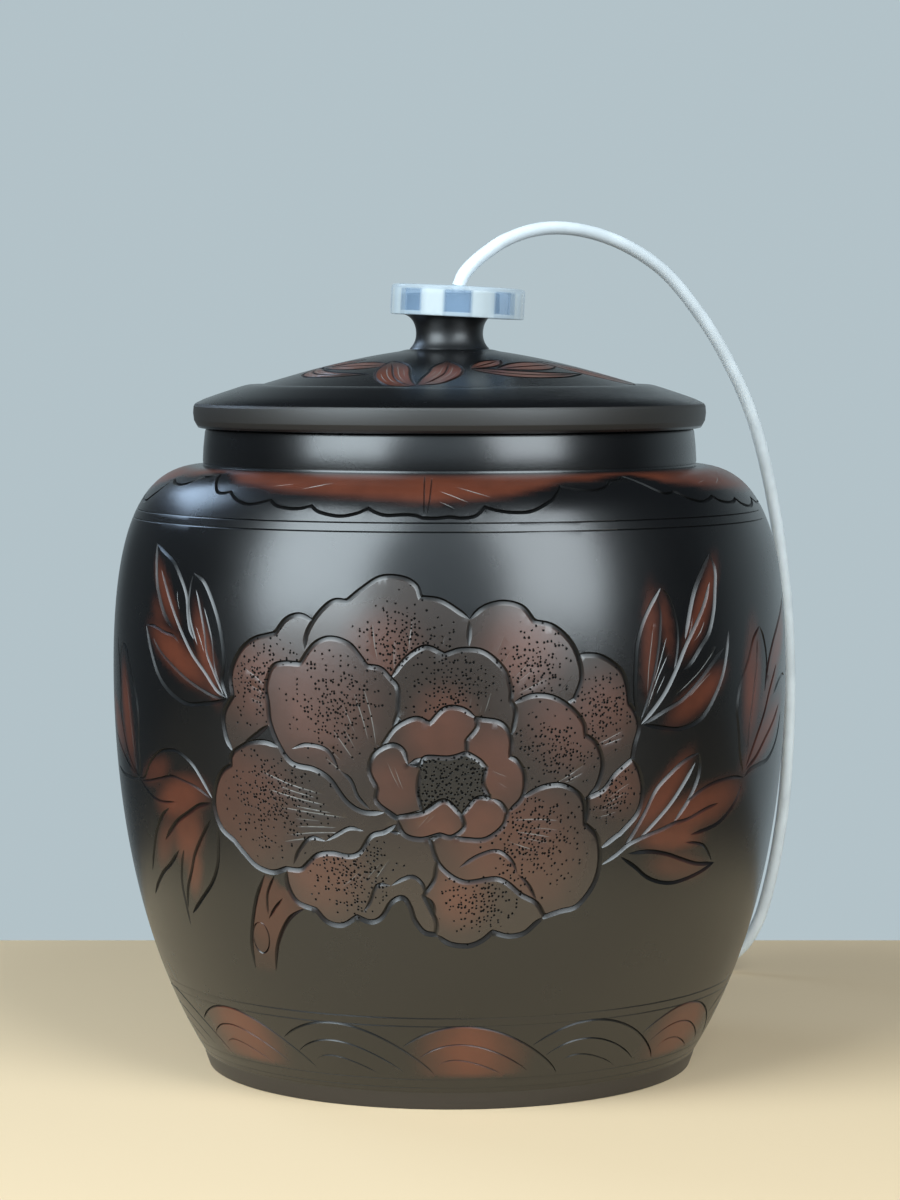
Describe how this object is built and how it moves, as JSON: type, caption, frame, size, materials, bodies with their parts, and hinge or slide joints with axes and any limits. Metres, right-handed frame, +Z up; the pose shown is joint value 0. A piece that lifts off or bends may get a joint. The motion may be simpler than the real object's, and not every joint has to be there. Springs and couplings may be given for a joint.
{
  "type": "water jar",
  "caption": "Lidded carved clay water jar whose knob is bored for a suction hose, with a soft cap over the knob, a strainer inside and the spare hose coiled behind",
  "frame": {"origin": "middle of the jar's foot, on the surface that it stands on", "axes": "+Z up along the jar's turning axis, -Y towards the carved front with the peony, +X to the right seen from the front, where the hose comes down"},
  "size_m": [0.3227, 0.3646, 0.3767],
  "materials": {
    "burnished_clay": "black-fired clay, burnished to a soft gloss, carved and rubbed with red",
    "lid_clay": "black-fired clay, burnished, carved and rubbed with red",
    "cap_silicone": "translucent bluish silicone, smooth",
    "hose_silicone": "translucent milky silicone, smooth",
    "tie_silicone": "milky silicone band",
    "spigot_steel": "turned stainless steel",
    "strainer_steel": "brushed stainless steel, slotted"
  },
  "bodies": {
    "jar": {"jar_body": "burnished_clay", "jar_floor": "burnished_clay", "hose_drop": "hose_silicone", "hose_coil": "hose_silicone", "coil_tie": "tie_silicone"},
    "lid": {"lid": "lid_clay"},
    "cap": {"knob_cap": "cap_silicone", "hose_dip": "hose_silicone", "hose_arch": "hose_silicone", "strainer_spigot": "spigot_steel", "strainer_cage": "strainer_steel"}
  },
  "joints": [
    {"name": "lid_lift", "type": "slide", "parent": "jar", "child": "lid", "axis": [0, 0, 1], "range_m": [0, 0.33]},
    {"name": "cap_lift", "type": "slide", "parent": "lid", "child": "cap", "axis": [0, 0, 1], "range_m": [0, 0.06]}
  ]
}
